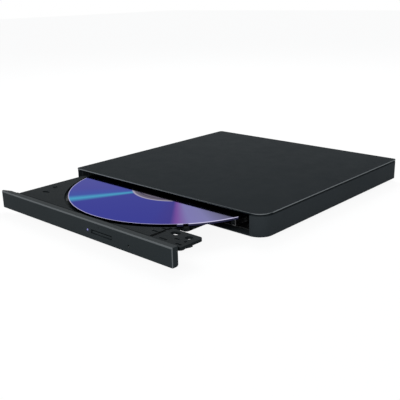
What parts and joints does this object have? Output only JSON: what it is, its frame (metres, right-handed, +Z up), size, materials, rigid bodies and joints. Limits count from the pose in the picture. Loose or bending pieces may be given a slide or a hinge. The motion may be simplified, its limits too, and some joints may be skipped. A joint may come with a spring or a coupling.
{
  "type": "external optical disc drive",
  "caption": "Slim external disc drive in a flat rectangular case with one rounded corner, its slotted tray partly out with a mirror disc seated in the round well.",
  "frame": {"origin": "centre of the outline on the table, with the tray drawn out 52.5 mm as at rest", "axes": "+X to the right seen from the front, +Y from the front panel to the back, +Z up through the cover"},
  "size_m": [0.144, 0.19, 0.014],
  "materials": {
    "case_plastic": "satin",
    "cover_plastic": "satin",
    "panel_plastic": "satin",
    "tray_plastic": "satin",
    "button_plastic": "satin",
    "foot_rubber": "matte",
    "sheet_steel": "brushed",
    "rail_steel": "brushed",
    "bright_steel": "polished",
    "screw_steel": "satin",
    "guide_plastic": "satin",
    "board_green": "satin",
    "chip_black": "matte",
    "socket_plastic": "satin",
    "socket_steel": "polished",
    "ribbon": "satin",
    "lamp_lens": "clear",
    "stator": "satin",
    "window_sheet": "satin",
    "turntable_metal": "satin",
    "claw_plastic": "satin",
    "disc": "mirror",
    "sled_metal": "cast",
    "lens_glass": "clear"
  },
  "bodies": {
    "case": {"base_case": "case_plastic", "top_cover": "cover_plastic", "rubber_feet": "foot_rubber", "case_screws": "screw_steel", "drive_chassis": "sheet_steel", "drive_lid": "sheet_steel", "drive_screws": "screw_steel", "left_guide": "guide_plastic", "right_guide": "guide_plastic", "main_board": "board_green", "board_screws": "screw_steel", "board_chips": "chip_black", "board_connector": "socket_plastic", "usb_socket": "socket_steel", "flex_cable": "ribbon", "latch_post": "bright_steel"},
    "left_rail": {"left_rail": "rail_steel"},
    "right_rail": {"right_rail": "rail_steel"},
    "tray": {"tray": "tray_plastic", "bezel": "panel_plastic", "light_pipe": "lamp_lens", "button_board": "board_green", "tray_connector": "socket_plastic", "traverse_base": "sheet_steel", "guide_rods": "bright_steel", "spindle_stator": "stator", "sled_motor": "bright_steel", "window_plate": "window_sheet", "tray_bottom_cover": "sheet_steel", "tray_screws": "screw_steel", "latch_solenoid": "stator"},
    "spindle": {"turntable": "turntable_metal", "clamp_claws": "claw_plastic", "disc": "disc"},
    "pickup": {"pickup_sled": "sled_metal", "pickup_board": "board_green"},
    "lens_carrier": {"lens_holder": "claw_plastic", "lens": "lens_glass"},
    "lead_screw": {"lead_screw": "bright_steel"},
    "eject_button": {"eject_button": "button_plastic"},
    "latch": {"latch_lever": "claw_plastic"}
  },
  "joints": [
    {"name": "tray_slide", "type": "slide", "parent": "case", "child": "tray", "axis": [0, -1, 0], "range_m": [-0.0525, 0.0735], "deforming": ["flex_cable"]},
    {"name": "left_rail_slide", "type": "slide", "parent": "case", "child": "left_rail", "axis": [0, -1, 0], "range_m": [-0.02625, 0.03675]},
    {"name": "right_rail_slide", "type": "slide", "parent": "case", "child": "right_rail", "axis": [0, -1, 0], "range_m": [-0.02625, 0.03675]},
    {"name": "spindle_spin", "type": "hinge", "parent": "tray", "child": "spindle", "pos_m": [0.0012, -0.02795, 0.0125], "axis": [0, 0, 1], "continuous": true},
    {"name": "pickup_slide", "type": "slide", "parent": "tray", "child": "pickup", "axis": [-0.7071, -0.7071, 0], "range_m": [-0.016, 0.0175]},
    {"name": "lead_screw_turn", "type": "hinge", "parent": "tray", "child": "lead_screw", "pos_m": [-0.01259, -0.01416, 0.007], "axis": [-0.7071, -0.7071, 0], "range_deg": [-1921, 2101]},
    {"name": "lens_focus", "type": "slide", "parent": "pickup", "child": "lens_carrier", "axis": [0, 0, 1], "range_m": [-0.00025, 0.00025], "stiffness_N_per_m": 50},
    {"name": "eject_button_press", "type": "slide", "parent": "tray", "child": "eject_button", "axis": [0, 1, 0], "range_m": [0, 0.00055], "stiffness_N_per_m": 400},
    {"name": "latch_swing", "type": "hinge", "parent": "tray", "child": "latch", "pos_m": [0.0605, -0.087, 0.0075], "axis": [0, 0, 1], "range_deg": [0, 25], "stiffness_Nm_per_rad": 0.0004}
  ],
  "couplings": [
    {"joint": "left_rail_slide", "follows": "tray_slide", "ratio": 0.5},
    {"joint": "right_rail_slide", "follows": "tray_slide", "ratio": 0.5},
    {"joint": "lead_screw_turn", "follows": "pickup_slide", "rad_per_m": 2094.4}
  ]
}
